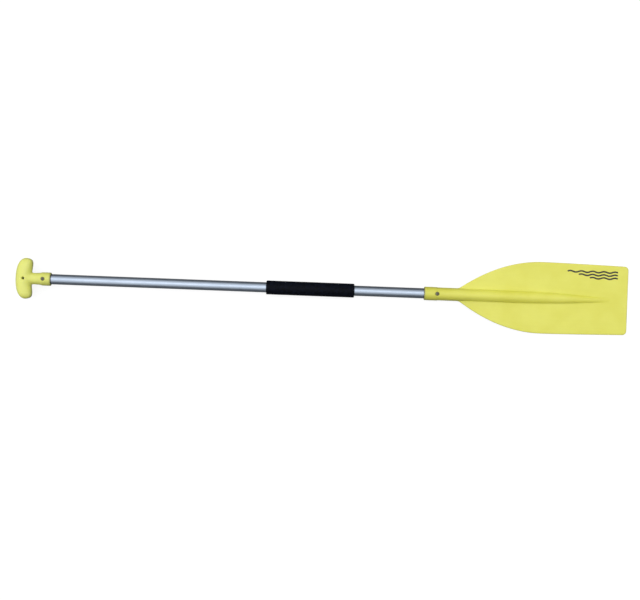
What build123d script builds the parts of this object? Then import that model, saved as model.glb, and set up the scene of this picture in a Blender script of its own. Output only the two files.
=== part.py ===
"""T-handled oar: an aluminium tube with a moulded T grip at one end and a moulded blade at the other.

Sizes are in millimetres. X runs along the shaft from the palm of the grip to the tip of the blade, Y runs
across the blade, and Z points out of the blade's printed front face. The origin is at mid-length, straight
under the shaft, on the surface that the oar lies on.
"""

import os
from math import pi, sin, sqrt

from build123d import *

# ---------------------------------------------------------------- driving dimensions
OVERALL_LENGTH = 1524.0  # palm of the grip to the tip of the blade

# Shaft tube, 1 inch drawn aluminium
TUBE_DIAMETER = 25.4
TUBE_WALL = 1.25
TUBE_IN_GRIP = 43.0  # how far the tube reaches into the grip
TUBE_IN_BLADE = 118.0  # how far the tube reaches into the blade

# Sockets of both mouldings
SOCKET_CLEARANCE = 0.05  # radial, between the tube and a socket; the tube is pushed home to the bottom
MOUTH_WALL = 3.75  # wall of a socket at its mouth
MOUTH_ROUND = 1.0
COLLAR_BLEND = 5.0  # length of the slope between a collar and its neck

# T grip
GRIP_WIDTH = 101.6
GRIP_DEPTH = 42.2  # palm side to finger side
GRIP_OVER_SOCKET = 2.25  # how far the middle of the bar stands proud of the socket's radius
GRIP_END_THICKNESS = 23.0
GRIP_PALM_SETBACK = 13.6  # how far the ends of the bar lie behind the palm
GRIP_FINGER_SETBACK = 3.0  # how far the ends of the bar stop short on the finger side
GRIP_FINGER_RELIEF = 1.8  # how far the finger side dips in beside the neck
GRIP_END_ROUND = 10.0
GRIP_LENGTH = 88.5  # palm to the mouth of the neck
NECK_WALL = 1.25  # wall of the grip's neck where it leaves the bar
NECK_BLEND = 3.0  # fillet between the neck and the bar
GRIP_COLLAR_LENGTH = 22.0
GRIP_COLLAR_STEP = 1.6  # how far the collar at the grip's mouth stands proud of the neck
LANYARD_HOLE_DIAMETER = 6.5
LANYARD_HOLE_SETBACK = 21.0  # palm to the hole's axis
LANYARD_HOLE_ROUND = 1.0

# Foam grip
FOAM_WALL = 4.8
FOAM_LENGTH = 219.0
FOAM_TO_BLADE = 174.0  # bare tube between the foam and the blade's mouth
FOAM_ROUND = 3.0

# Blade
BLADE_LENGTH = 506.5  # mouth of the socket to the tip
BLADE_WIDTH = 178.0
BLADE_TIP_WIDTH = 170.0
BLADE_THICKNESS = 4.0
BLADE_FACE_LENGTH = 420.0  # root, where the wings leave the neck, to the tip
BLADE_WIDEST = 214.0  # from the tip back to the widest place
BLADE_CORNER = 10.0
BLADE_EDGE_ROUND = 1.5
BLADE_COLLAR_LENGTH = 30.0
BLADE_COLLAR_STEP = 0.7  # how far the collar at the blade's mouth stands proud of the neck
SPINE_TO_TIP = 46.0  # from where the spine fades out to the tip

# Blind rivets
RIVET_DIAMETER = 4.8
RIVET_HOLE_CLEARANCE = 0.05  # radial
RIVET_HEAD_DIAMETER = 9.5
RIVET_HEAD_HEIGHT = 1.6
RIVET_TAIL_DIAMETER = 7.2
RIVET_TAIL_LENGTH = 5.0
RIVET_TAIL_GAP = 0.05  # between the swollen tail and the inside of the tube
SPOT_FACE_DIAMETER = 11.5
SPOT_FACE_DEPTH = 1.9  # below the crown of the socket
MANDREL_DIAMETER = 2.7
MANDREL_CLEARANCE = 0.02  # radial
MANDREL_HEAD_DIAMETER = 4.0
MANDREL_HEAD_LENGTH = 2.5
GRIP_RIVET_SETBACK = 18.5  # mouth of the neck to the rivet's axis
BLADE_RIVET_SETBACK = 32.0  # mouth of the blade's socket to the rivet's axis

# Flotation plugs
PLUG_LENGTH = 25.0
PLUG_TO_RIVET = 22.0  # rivet's axis to the near end of its plug

# Printed waves on the blade's front face
PRINT_THICKNESS = 0.15
PRINT_LINE = 3.8
PRINT_PITCH = 7.6
PRINT_LENGTHS = (126.0, 98.0, 70.0)
PRINT_WAVELENGTH = 28.0
PRINT_AMPLITUDE = 1.6
PRINT_FROM_TIP = 26.0
PRINT_FROM_EDGE = 16.0

# ---------------------------------------------------------------- places that follow from them
PALM = -OVERALL_LENGTH / 2
TIP = OVERALL_LENGTH / 2
TUBE_RADIUS = TUBE_DIAMETER / 2
TUBE_BORE_RADIUS = TUBE_RADIUS - TUBE_WALL
SOCKET_RADIUS = TUBE_RADIUS + SOCKET_CLEARANCE
MOUTH_RADIUS = SOCKET_RADIUS + MOUTH_WALL
BLADE_NECK_RADIUS = MOUTH_RADIUS - BLADE_COLLAR_STEP
GRIP_THICKNESS = 2 * (SOCKET_RADIUS + GRIP_OVER_SOCKET)
FOAM_RADIUS = TUBE_RADIUS + FOAM_WALL
AXIS_Z = max(FOAM_RADIUS, MOUTH_RADIUS, GRIP_THICKNESS / 2)  # the widest piece lies on the surface
SHAFT_AXIS = Axis((0, 0, AXIS_Z), (1, 0, 0))

GRIP_MOUTH = PALM + GRIP_LENGTH
BLADE_MOUTH = TIP - BLADE_LENGTH
BLADE_ROOT = TIP - BLADE_FACE_LENGTH
TUBE_START = GRIP_MOUTH - TUBE_IN_GRIP
TUBE_END = BLADE_MOUTH + TUBE_IN_BLADE
FOAM_END = BLADE_MOUTH - FOAM_TO_BLADE
GRIP_RIVET = GRIP_MOUTH - GRIP_RIVET_SETBACK
BLADE_RIVET = BLADE_MOUTH + BLADE_RIVET_SETBACK
RIVET_HOLE_RADIUS = RIVET_DIAMETER / 2 + RIVET_HOLE_CLEARANCE
RIVET_SEAT_Z = AXIS_Z + MOUTH_RADIUS - SPOT_FACE_DEPTH

os.makedirs("parts", exist_ok=True)


def write(builder, name):
    """Labels a finished piece and writes it as parts/NAME.step."""
    builder.part.label = name
    export_step(builder.part, f"parts/{name}.step")


def across_shaft(x):
    """The plane square to the shaft at x, centred on the shaft's axis."""
    return Plane(origin=(x, 0, AXIS_Z), x_dir=(0, 1, 0), z_dir=(1, 0, 0))


def level(z):
    """The horizontal plane at height z."""
    return Plane.XY.offset(z)


def cut_socket(mouth_x, depth, rivet_x):
    """Cuts the tube's socket into the moulding being built, and the seat and hole of its rivet."""
    with BuildSketch(across_shaft(mouth_x)) as bore:
        Circle(SOCKET_RADIUS)
    extrude(bore.sketch, amount=depth, mode=Mode.SUBTRACT)
    with BuildSketch(level(RIVET_SEAT_Z)) as seat:
        with Locations((rivet_x, 0)):
            Circle(SPOT_FACE_DIAMETER / 2)
    extrude(seat.sketch, amount=SPOT_FACE_DEPTH * 2, mode=Mode.SUBTRACT)
    with BuildSketch(level(AXIS_Z)) as hole:
        with Locations((rivet_x, 0)):
            Circle(RIVET_HOLE_RADIUS)
    extrude(hole.sketch, amount=MOUTH_RADIUS, mode=Mode.SUBTRACT)


# ---------------------------------------------------------------- shaft tube
with BuildPart() as shaft_tube:
    with BuildSketch(across_shaft(TUBE_START)):
        Circle(TUBE_RADIUS)
        Circle(TUBE_BORE_RADIUS, mode=Mode.SUBTRACT)
    extrude(amount=TUBE_END - TUBE_START)
    # One drilled hole for each rivet, in the upper wall only
    with BuildSketch(level(AXIS_Z)):
        with Locations((GRIP_RIVET, 0), (BLADE_RIVET, 0)):
            Circle(RIVET_HOLE_RADIUS)
    extrude(amount=TUBE_DIAMETER, mode=Mode.SUBTRACT)
write(shaft_tube, "shaft_tube")

# ---------------------------------------------------------------- foam grip
with BuildPart() as foam_grip:
    with BuildSketch(across_shaft(FOAM_END - FOAM_LENGTH)):
        Circle(FOAM_RADIUS)
        Circle(TUBE_RADIUS, mode=Mode.SUBTRACT)
    extrude(amount=FOAM_LENGTH)
    rims = foam_grip.edges().filter_by(GeomType.CIRCLE).sort_by(SortBy.RADIUS)[-2:]
    fillet(rims, radius=min(FOAM_ROUND, FOAM_WALL * 0.7))
write(foam_grip, "foam_grip")


# ---------------------------------------------------------------- T grip
def bar_section(share):
    """Plane, half depth and half thickness of the bar's ellipse at a share, -1 to 1, of its half width."""
    palm_side = PALM + GRIP_PALM_SETBACK * abs(share) ** 3
    dip = GRIP_FINGER_RELIEF * (1 - abs(share)) ** 2
    finger_side = PALM + GRIP_DEPTH - dip - GRIP_FINGER_SETBACK * share**6
    thickness = GRIP_THICKNESS - (GRIP_THICKNESS - GRIP_END_THICKNESS) * share**2
    centre = ((palm_side + finger_side) / 2, share * GRIP_WIDTH / 2, AXIS_Z)
    plane = Plane(origin=centre, x_dir=(1, 0, 0), z_dir=(0, 1, 0))
    return plane, (finger_side - palm_side) / 2, thickness / 2


with BuildPart() as t_grip:
    # The bar, from end to end across the shaft
    for share in (-1, -0.85, -0.6, -0.3, 0, 0.3, 0.6, 0.85, 1):
        plane, half_depth, half_thickness = bar_section(share)
        with BuildSketch(plane):
            Ellipse(half_depth, half_thickness)
    loft()
    ends = t_grip.faces().filter_by(Axis.Y)
    fillet(ends.edges(), radius=GRIP_END_ROUND)
    # The lanyard hole, through the middle of the bar
    with BuildSketch(level(AXIS_Z)):
        with Locations((PALM + LANYARD_HOLE_SETBACK, 0)):
            Circle(LANYARD_HOLE_DIAMETER / 2)
    extrude(amount=GRIP_THICKNESS, both=True, mode=Mode.SUBTRACT)
    hole_edges = t_grip.edges(Select.LAST)
    hole_rims = hole_edges.filter_by(lambda edge: abs(edge.center().Z - AXIS_Z) > GRIP_THICKNESS / 3)
    fillet(hole_rims, radius=LANYARD_HOLE_ROUND)
    # The neck, whose wall grows towards its collar
    neck_start = PALM + LANYARD_HOLE_SETBACK + LANYARD_HOLE_DIAMETER / 2 + 2 * LANYARD_HOLE_ROUND
    bar_back = PALM + GRIP_DEPTH
    collar_start = GRIP_MOUTH - GRIP_COLLAR_LENGTH
    with BuildSketch(Plane.XZ):
        with BuildLine():
            Polyline(
                (neck_start, AXIS_Z),
                (neck_start, AXIS_Z + SOCKET_RADIUS),
                (bar_back, AXIS_Z + SOCKET_RADIUS + NECK_WALL),
                (collar_start - COLLAR_BLEND, AXIS_Z + MOUTH_RADIUS - GRIP_COLLAR_STEP),
                (collar_start, AXIS_Z + MOUTH_RADIUS),
                (GRIP_MOUTH, AXIS_Z + MOUTH_RADIUS),
                (GRIP_MOUTH, AXIS_Z),
                close=True,
            )
        make_face()
    revolve(axis=SHAFT_AXIS)
    joins = t_grip.edges(Select.NEW).filter_by(lambda edge: edge.center().X < bar_back)
    fillet(joins, radius=NECK_BLEND)
    mouth_rim = t_grip.faces().sort_by(Axis.X)[-1].edges()
    fillet(mouth_rim, radius=MOUTH_ROUND)
    cut_socket(GRIP_MOUTH, -TUBE_IN_GRIP, GRIP_RIVET)
write(t_grip, "t_grip")

# ---------------------------------------------------------------- blade
WIDEST_X = TIP - BLADE_WIDEST
SHOULDER_X = (BLADE_ROOT + WIDEST_X) / 2
SPINE_LENGTH = BLADE_FACE_LENGTH - SPINE_TO_TIP
# Each station of the spine: share of its length, half width, half height
NECK_AT_ROOT = BLADE_NECK_RADIUS
SPINE_FADE_HEIGHT = BLADE_THICKNESS / 2 - 0.2  # just inside the plate, so that the spine's point sinks into it
SPINE_STATIONS = (
    (0.00, NECK_AT_ROOT, NECK_AT_ROOT),
    (0.10, NECK_AT_ROOT - 0.2, NECK_AT_ROOT - 0.2),
    (0.28, NECK_AT_ROOT - 1.0, NECK_AT_ROOT * 0.88),
    (0.48, NECK_AT_ROOT - 1.6, NECK_AT_ROOT * 0.73),
    (0.70, NECK_AT_ROOT * 0.74, NECK_AT_ROOT * 0.56),
    (0.86, NECK_AT_ROOT * 0.52, NECK_AT_ROOT * 0.35),
    (1.00, NECK_AT_ROOT * 0.38, SPINE_FADE_HEIGHT),
)

with BuildPart() as blade:
    # The plate: a parabola out to the widest place, then a gentle curve in to the square tip
    with BuildSketch(level(AXIS_Z - BLADE_THICKNESS / 2)) as plate_outline:
        with BuildLine():
            Bezier(
                (BLADE_ROOT, BLADE_NECK_RADIUS),
                (SHOULDER_X, BLADE_WIDTH / 2),
                (WIDEST_X, BLADE_WIDTH / 2),
            )
            Bezier(
                (WIDEST_X, BLADE_WIDTH / 2),
                (WIDEST_X + BLADE_WIDEST / 4, BLADE_WIDTH / 2),
                (TIP, BLADE_TIP_WIDTH / 2),
            )
            Line((TIP, BLADE_TIP_WIDTH / 2), (TIP, 0))
            mirror(about=Plane.XZ)
            Line((BLADE_ROOT, -BLADE_NECK_RADIUS), (BLADE_ROOT, BLADE_NECK_RADIUS))
        make_face()
        corners = plate_outline.vertices().group_by(Axis.X)[-1]
        fillet(corners, radius=BLADE_CORNER)
    extrude(amount=BLADE_THICKNESS)
    rim = blade.faces().filter_by(Axis.Z).edges().filter_by(lambda edge: edge.center().X > BLADE_ROOT + 1)
    fillet(rim, radius=BLADE_EDGE_ROUND)
    # The spine, from the round neck to a flat point
    for share, half_width, half_height in SPINE_STATIONS:
        with BuildSketch(across_shaft(BLADE_ROOT + share * SPINE_LENGTH)):
            Ellipse(half_width, half_height)
    loft()
    # The neck and its collar
    collar_end = BLADE_MOUTH + BLADE_COLLAR_LENGTH
    with BuildSketch(Plane.XZ):
        with BuildLine():
            Polyline(
                (BLADE_MOUTH, AXIS_Z),
                (BLADE_MOUTH, AXIS_Z + MOUTH_RADIUS),
                (collar_end, AXIS_Z + MOUTH_RADIUS),
                (collar_end + COLLAR_BLEND, AXIS_Z + BLADE_NECK_RADIUS),
                (BLADE_ROOT, AXIS_Z + BLADE_NECK_RADIUS),
                (BLADE_ROOT, AXIS_Z),
                close=True,
            )
        make_face()
    revolve(axis=SHAFT_AXIS)
    mouth_rim = blade.faces().sort_by(Axis.X)[0].edges()
    fillet(mouth_rim, radius=MOUTH_ROUND)
    cut_socket(BLADE_MOUTH, TUBE_IN_BLADE, BLADE_RIVET)
write(blade, "blade")

# ---------------------------------------------------------------- blind rivets, one in each socket
TAIL_TOP_Z = AXIS_Z + sqrt(TUBE_BORE_RADIUS**2 - RIVET_DIAMETER**2 / 4) - RIVET_TAIL_GAP
TAIL_BOTTOM_Z = TAIL_TOP_Z - RIVET_TAIL_LENGTH
HEAD_TOP_Z = RIVET_SEAT_Z + RIVET_HEAD_HEIGHT
MANDREL_HOLE_RADIUS = MANDREL_DIAMETER / 2 + MANDREL_CLEARANCE

for end_name, rivet_x in (("grip", GRIP_RIVET), ("blade", BLADE_RIVET)):
    rivet_axis = Axis((rivet_x, 0, 0), (0, 0, 1))
    with BuildPart() as rivet:
        with BuildSketch(Plane.XZ):
            with BuildLine():
                ThreePointArc(
                    (rivet_x + MANDREL_HOLE_RADIUS, HEAD_TOP_Z),
                    (rivet_x + RIVET_HEAD_DIAMETER * 0.35, RIVET_SEAT_Z + RIVET_HEAD_HEIGHT * 0.72),
                    (rivet_x + RIVET_HEAD_DIAMETER / 2, RIVET_SEAT_Z),
                )
                Polyline(
                    (rivet_x + RIVET_HEAD_DIAMETER / 2, RIVET_SEAT_Z),
                    (rivet_x + RIVET_DIAMETER / 2, RIVET_SEAT_Z),
                    (rivet_x + RIVET_DIAMETER / 2, TAIL_TOP_Z),
                    (rivet_x + RIVET_TAIL_DIAMETER / 2, TAIL_TOP_Z - RIVET_TAIL_LENGTH * 0.3),
                    (rivet_x + RIVET_TAIL_DIAMETER / 2, TAIL_TOP_Z - RIVET_TAIL_LENGTH * 0.6),
                    (rivet_x + RIVET_DIAMETER / 2, TAIL_BOTTOM_Z),
                    (rivet_x + MANDREL_HOLE_RADIUS, TAIL_BOTTOM_Z),
                    (rivet_x + MANDREL_HOLE_RADIUS, HEAD_TOP_Z),
                )
            make_face()
        revolve(axis=rivet_axis)
    write(rivet, f"{end_name}_rivet")

    # What stays of the steel mandrel: its snapped stem, and the head that swelled the tail
    with BuildPart() as mandrel:
        with BuildSketch(level(TAIL_BOTTOM_Z)):
            with Locations((rivet_x, 0)):
                Circle(MANDREL_DIAMETER / 2)
        extrude(amount=HEAD_TOP_Z - TAIL_BOTTOM_Z - RIVET_HEAD_HEIGHT * 0.4)
        with BuildSketch(level(TAIL_BOTTOM_Z)):
            with Locations((rivet_x, 0)):
                Circle(MANDREL_HEAD_DIAMETER / 2)
        extrude(amount=-MANDREL_HEAD_LENGTH)
        fillet(mandrel.edges().sort_by(Axis.Z)[0], radius=MANDREL_HEAD_LENGTH * 0.4)
    write(mandrel, f"{end_name}_rivet_mandrel")

# ---------------------------------------------------------------- flotation plugs inside the tube
for end_name, plug_start in (
    ("upper", GRIP_RIVET + PLUG_TO_RIVET),
    ("lower", BLADE_RIVET - PLUG_TO_RIVET - PLUG_LENGTH),
):
    with BuildPart() as plug:
        with BuildSketch(across_shaft(plug_start)):
            Circle(TUBE_BORE_RADIUS)
        extrude(amount=PLUG_LENGTH)
    write(plug, f"{end_name}_float_plug")

# ---------------------------------------------------------------- printed waves on the front face
with BuildPart() as blade_print:
    for row, length in enumerate(PRINT_LENGTHS):
        start = TIP - PRINT_FROM_TIP - length
        middle = BLADE_TIP_WIDTH / 2 - PRINT_FROM_EDGE - row * PRINT_PITCH
        steps = round(length / PRINT_WAVELENGTH * 4)
        crests = [
            (start + length * i / steps, middle + PRINT_AMPLITUDE * sin(i * pi / 2))
            for i in range(steps + 1)
        ]
        with BuildSketch(level(AXIS_Z + BLADE_THICKNESS / 2)):
            with BuildLine():
                Spline(crests)
            trace(line_width=PRINT_LINE)
        extrude(amount=PRINT_THICKNESS)
write(blade_print, "blade_print")

print("overall", OVERALL_LENGTH, "axis height", AXIS_Z, "grip rivet", GRIP_RIVET, "blade rivet", BLADE_RIVET)
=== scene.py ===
"""The T-handled oar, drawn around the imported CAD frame: meshes, materials, light and camera.

Shapes are worked out in millimetres in a frame of their own: u runs along the shaft from the piece's own
start, y runs across the blade, and z is measured from the shaft's axis. make_mesh() puts them in the row's
frame, in metres.
"""

from math import cos, pi, radians, sin

import bmesh
import bpy
import numpy as np
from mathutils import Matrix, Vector, noise


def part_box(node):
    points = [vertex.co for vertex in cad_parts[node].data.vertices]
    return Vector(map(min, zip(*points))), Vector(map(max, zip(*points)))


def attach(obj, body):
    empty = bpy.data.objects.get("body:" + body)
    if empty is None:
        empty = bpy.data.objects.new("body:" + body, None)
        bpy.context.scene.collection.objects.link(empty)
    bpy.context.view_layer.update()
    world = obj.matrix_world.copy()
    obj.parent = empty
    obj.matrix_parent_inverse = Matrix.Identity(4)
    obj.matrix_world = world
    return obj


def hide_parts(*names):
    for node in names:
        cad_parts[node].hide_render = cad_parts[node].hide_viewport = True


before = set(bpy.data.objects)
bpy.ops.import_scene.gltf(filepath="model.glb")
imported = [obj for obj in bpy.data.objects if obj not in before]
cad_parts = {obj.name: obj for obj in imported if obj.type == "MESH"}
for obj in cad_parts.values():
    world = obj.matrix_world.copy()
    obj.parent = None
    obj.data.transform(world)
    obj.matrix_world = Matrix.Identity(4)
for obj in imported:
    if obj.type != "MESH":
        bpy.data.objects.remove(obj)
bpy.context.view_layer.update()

MM = 0.001
MERGE_REACH = 0.00001  # corners nearer than this, in metres, become one
BODY = "root"


def span(node, axis):
    """Lowest and highest coordinate of a CAD node along one axis, in millimetres."""
    low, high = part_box(node)
    return low[axis] / MM, high[axis] / MM


# ---------------------------------------------------------------- places, from the frame
PALM, GRIP_MOUTH = span("t_grip", 0)
BLADE_MOUTH, TIP = span("blade", 0)
TUBE_START, TUBE_END = span("shaft_tube", 0)
FOAM_START, FOAM_END = span("foam_grip", 0)
AXIS_Z = sum(span("foam_grip", 2)) / 2
GRIP_HALF_WIDTH = span("t_grip", 1)[1]
BLADE_HALF_WIDTH = span("blade", 1)[1]
GRIP_RIVET_X = sum(span("grip_rivet", 0)) / 2
BLADE_RIVET_X = sum(span("blade_rivet", 0)) / 2
GRIP_RIVET_U = GRIP_RIVET_X - PALM
BLADE_RIVET_U = BLADE_RIVET_X - BLADE_MOUTH

# ---------------------------------------------------------------- sizes, in millimetres
TUBE_RADIUS = 12.7
TUBE_BORE_RADIUS = 11.45
SOCKET_RADIUS = 12.75
COLLAR_RADIUS = 16.5
FOAM_RADIUS = 17.5
LEAD_IN = 1.3  # chamfer at the mouth of each socket
RIVET_HOLE_RADIUS = 2.45
SPOT_FACE_RADIUS = 5.75
RIVET_SEAT_Z = 14.6
RIVET_HEAD = 1.6
LANYARD_U = 21.0
LANYARD_RADIUS = 3.25

GRIP_LENGTH = GRIP_MOUTH - PALM
BAR_END_U = 25.1  # where the palm side and the finger side of the bar meet at its ends
BAR_LAST_SHARE = 0.9996  # how much of its half width the bar's curves cover
BAR_HALF_THICKNESS = 15.0
BAR_THINNING = 2.4  # how much thinner it is towards its ends
BAR_FINGER_REACH = 15.2  # from the ends' line back to the finger side, beside the neck
BAR_FINGER_SWELL = 1.9  # how much further back it lies past the dip beside the neck
BAR_FINGER_DIP = (12.0, 36.0)  # where across the bar the dip ends
BAR_FULL_ENDS = (18.0, 44.0)  # where across the bar its section turns from an ellipse to a fuller oval
GRIP_NECK_RADIUS = 14.0
GRIP_NECK_SWELL = 0.9
GRIP_NECK_SWELL_U = (42.0, 62.0)
GRIP_NECK_START_U = 27.0
GRIP_NECK_FILLET = 4.0
GRIP_COLLAR_STEP = 1.6
GRIP_COLLAR_STEP_U = (60.0, 68.0)
GRIP_MOUTH_ROUND = 2.2
GRIP_SOCKET_U = 45.5  # bottom of the grip's socket
LANYARD_ROUND = 2.0
SPOT_FACE_ROUND = 0.5
DRILLED_ROUND = 0.4  # at the edges of the socket and of the rivet's hole

BLADE_LENGTH = TIP - BLADE_MOUTH
BLADE_NECK_RADIUS = 15.8
BLADE_COLLAR_END = 29.0
COLLAR_BLEND = 7.0
ROOT_U = BLADE_LENGTH - 420.0  # where the wings leave the neck
WIDEST_U = BLADE_LENGTH - 214.0
TIP_HALF_WIDTH = BLADE_HALF_WIDTH - 4.0
TIP_CORNER = 10.0
PLATE_HALF = 2.0  # half the blade's thickness
PLATE_ROUND = 1.8  # how far in from the rim the blade starts to thin
SPINE_END_U = BLADE_LENGTH - 44.0


# ---------------------------------------------------------------- small maths
def ramp(at, start, end):
    """0 before start, 1 after end, and smooth between them."""
    share = np.clip((at - start) / (end - start), 0.0, 1.0)
    return share * share * (3 - 2 * share)


def smooth_max(a, b, width):
    """The larger of a and b, with a round of that width where they cross."""
    blend = np.maximum(width - np.abs(a - b), 0.0)
    return np.maximum(a, b) + blend * blend / (4 * width)


def smooth_min(a, b, width):
    """The smaller of a and b, with a round of that width where they cross."""
    return -smooth_max(-a, -b, width)


def through(points, at):
    """A monotone cubic curve through a few points, read at one or more places."""
    x, y = np.array(points, dtype=float).T
    step = np.diff(x)
    slope = np.diff(y) / step
    tangent = np.zeros(len(x))
    tangent[0], tangent[-1] = slope[0], slope[-1]
    same = slope[:-1] * slope[1:] > 0
    with np.errstate(divide="ignore", invalid="ignore"):
        tangent[1:-1] = np.where(same, 2 * slope[:-1] * slope[1:] / (slope[:-1] + slope[1:]), 0.0)
    i = np.clip(np.searchsorted(x, at) - 1, 0, len(x) - 2)
    t = np.clip((at - x[i]) / step[i], 0.0, 1.0)
    rise = y[i] * (1 + 2 * t) * (1 - t) ** 2 + y[i + 1] * t * t * (3 - 2 * t)
    return rise + step[i] * (tangent[i] * t * (1 - t) ** 2 - tangent[i + 1] * t * t * (1 - t))


# ---------------------------------------------------------------- meshes
def raw_mesh(name, points, faces, start_x):
    """A smooth mesh object from points (u, y, z), on no body yet."""
    mesh = bpy.data.meshes.new(name)
    used = sorted({int(number) for face in faces for number in face})
    renumbered = {old: new for new, old in enumerate(used)}
    placed = (np.asarray(points, dtype=float)[used] + (start_x, 0.0, AXIS_Z)) * MM
    mesh.from_pydata(placed.tolist(), [], [[renumbered[int(number)] for number in face] for face in faces])
    mesh.validate()
    shell = bmesh.new()
    shell.from_mesh(mesh)
    bmesh.ops.recalc_face_normals(shell, faces=shell.faces)
    shell.to_mesh(mesh)
    shell.free()
    mesh.polygons.foreach_set("use_smooth", [True] * len(mesh.polygons))
    mesh.update()
    piece = bpy.data.objects.new(name, mesh)
    bpy.context.collection.objects.link(piece)
    return piece


def make_mesh(name, points, faces, start_x, node):
    """A smooth mesh object that rides on the body and stands for one CAD node."""
    piece = raw_mesh(name, points, faces, start_x)
    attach(piece, BODY)
    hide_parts(node)
    return piece


def ring_faces(rings, closed=False):
    """Quads between each ring of point numbers and the next."""
    faces = []
    for low, high in zip(rings, rings[1:] + rings[:1] if closed else rings[1:]):
        for j in range(len(low)):
            k = (j + 1) % len(low)
            faces.append((low[j], high[j], high[k], low[k]))
    return faces


def turn(profile, segments, upright=False):
    """Points and faces of a profile of (along, radius) turned about the shaft, or about an upright axis.

    A profile that starts and ends at radius 0 is closed by its two end points, and any other is a closed
    loop.
    """
    solid = profile[0][1] == 0
    angles = [2 * pi * j / segments for j in range(segments)]
    points, rings = [], []
    for along, radius in profile[1:-1] if solid else profile:
        rings.append(list(range(len(points), len(points) + segments)))
        for angle in angles:
            a, b = radius * cos(angle), radius * sin(angle)
            points.append((b, a, along) if upright else (along, a, b))
    faces = ring_faces(rings, closed=not solid)
    if solid:
        for end, ring, flip in ((profile[0], rings[0], False), (profile[-1], rings[-1], True)):
            centre = len(points)
            points.append((0, 0, end[0]) if upright else (end[0], 0, 0))
            for j in range(segments):
                pair = (ring[j], ring[(j + 1) % segments])
                faces.append((centre, *(pair[::-1] if flip else pair)))
    return points, faces


def arc(centre, radius, start_degrees, end_degrees, count):
    """Points on a quarter round or other arc of a profile."""
    return [
        (centre[0] + radius * cos(radians(a)), centre[1] + radius * sin(radians(a)))
        for a in np.linspace(start_degrees, end_degrees, count)
    ]


# ---------------------------------------------------------------- T grip, from a field of signed distances
def bar_field(u, y, z):
    """Below 0 inside the bar, whose section at each place across it is a softened ellipse.

    Its palm side is a long arc. Its finger side runs nearly straight, dips in beside the neck and turns a
    tight corner at each end, where the section also gets fuller and thinner.
    """
    share = np.minimum(np.abs(y) / GRIP_HALF_WIDTH, BAR_LAST_SHARE)
    palm = BAR_END_U * (1 - np.sqrt(1 - share**2.4))
    finger_reach = BAR_FINGER_REACH + BAR_FINGER_SWELL * ramp(np.abs(y), *BAR_FINGER_DIP)
    finger = BAR_END_U + finger_reach * (1 - share**14) ** (2 / 3)
    half_depth = (finger - palm) / 2
    half_thickness = (BAR_HALF_THICKNESS - BAR_THINNING * share**2) * np.sqrt(1 - share**9)
    fullness = 2.0 + 0.6 * ramp(np.abs(y), *BAR_FULL_ENDS)
    along = np.abs(u - (palm + finger) / 2) / half_depth
    reach = (along**fullness + (np.abs(z) / half_thickness) ** fullness) ** (1 / fullness)
    past_end = np.abs(y) - BAR_LAST_SHARE * GRIP_HALF_WIDTH
    return np.maximum((reach - 1) * np.minimum(half_depth, half_thickness), past_end)


def grip_neck_radius(u):
    """Radius of the grip's neck, and of the collar at its mouth."""
    swell = GRIP_NECK_SWELL * ramp(u, *GRIP_NECK_SWELL_U)
    return GRIP_NECK_RADIUS + swell + GRIP_COLLAR_STEP * ramp(u, *GRIP_COLLAR_STEP_U)


def grip_field(u, y, z):
    """Below 0 inside the T grip."""
    from_axis = np.hypot(y, z)
    neck = smooth_max(from_axis - grip_neck_radius(u), u - GRIP_LENGTH, GRIP_MOUTH_ROUND)
    solid = smooth_min(bar_field(u, y, z), np.maximum(neck, GRIP_NECK_START_U - u), GRIP_NECK_FILLET)
    bore_radius = SOCKET_RADIUS + LEAD_IN * np.clip((u - GRIP_LENGTH + LEAD_IN) / LEAD_IN, 0.0, 1.0)
    bore = np.maximum(from_axis - bore_radius, GRIP_SOCKET_U - u)
    lanyard = np.hypot(u - LANYARD_U, y) - LANYARD_RADIUS
    from_rivet = np.hypot(u - GRIP_RIVET_U, y)
    seat = np.maximum(from_rivet - SPOT_FACE_RADIUS, RIVET_SEAT_Z - z)
    hole = np.maximum(from_rivet - RIVET_HOLE_RADIUS, -z)
    solid = smooth_max(solid, -bore, DRILLED_ROUND)
    solid = smooth_max(solid, -lanyard, LANYARD_ROUND)
    solid = smooth_max(solid, -seat, SPOT_FACE_ROUND)
    return smooth_max(solid, -hole, DRILLED_ROUND)


def field_slope(field, points):
    """Gradient of a field at points."""
    reach = 0.04
    slope = np.empty_like(points)
    for axis in range(3):
        offset = np.zeros(3)
        offset[axis] = reach
        slope[:, axis] = (field(*(points + offset).T) - field(*(points - offset).T)) / (2 * reach)
    return slope


def onto_surface(field, points, rounds):
    """Moves points along the field's slope until they lie on its surface."""
    for _ in range(rounds):
        slope = field_slope(field, points)
        length = np.maximum((slope**2).sum(axis=1), 0.05)
        step = field(*points.T) / length
        move = np.clip(step[:, None] * slope, -0.4, 0.4)
        points = points - move
    return points


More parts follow.
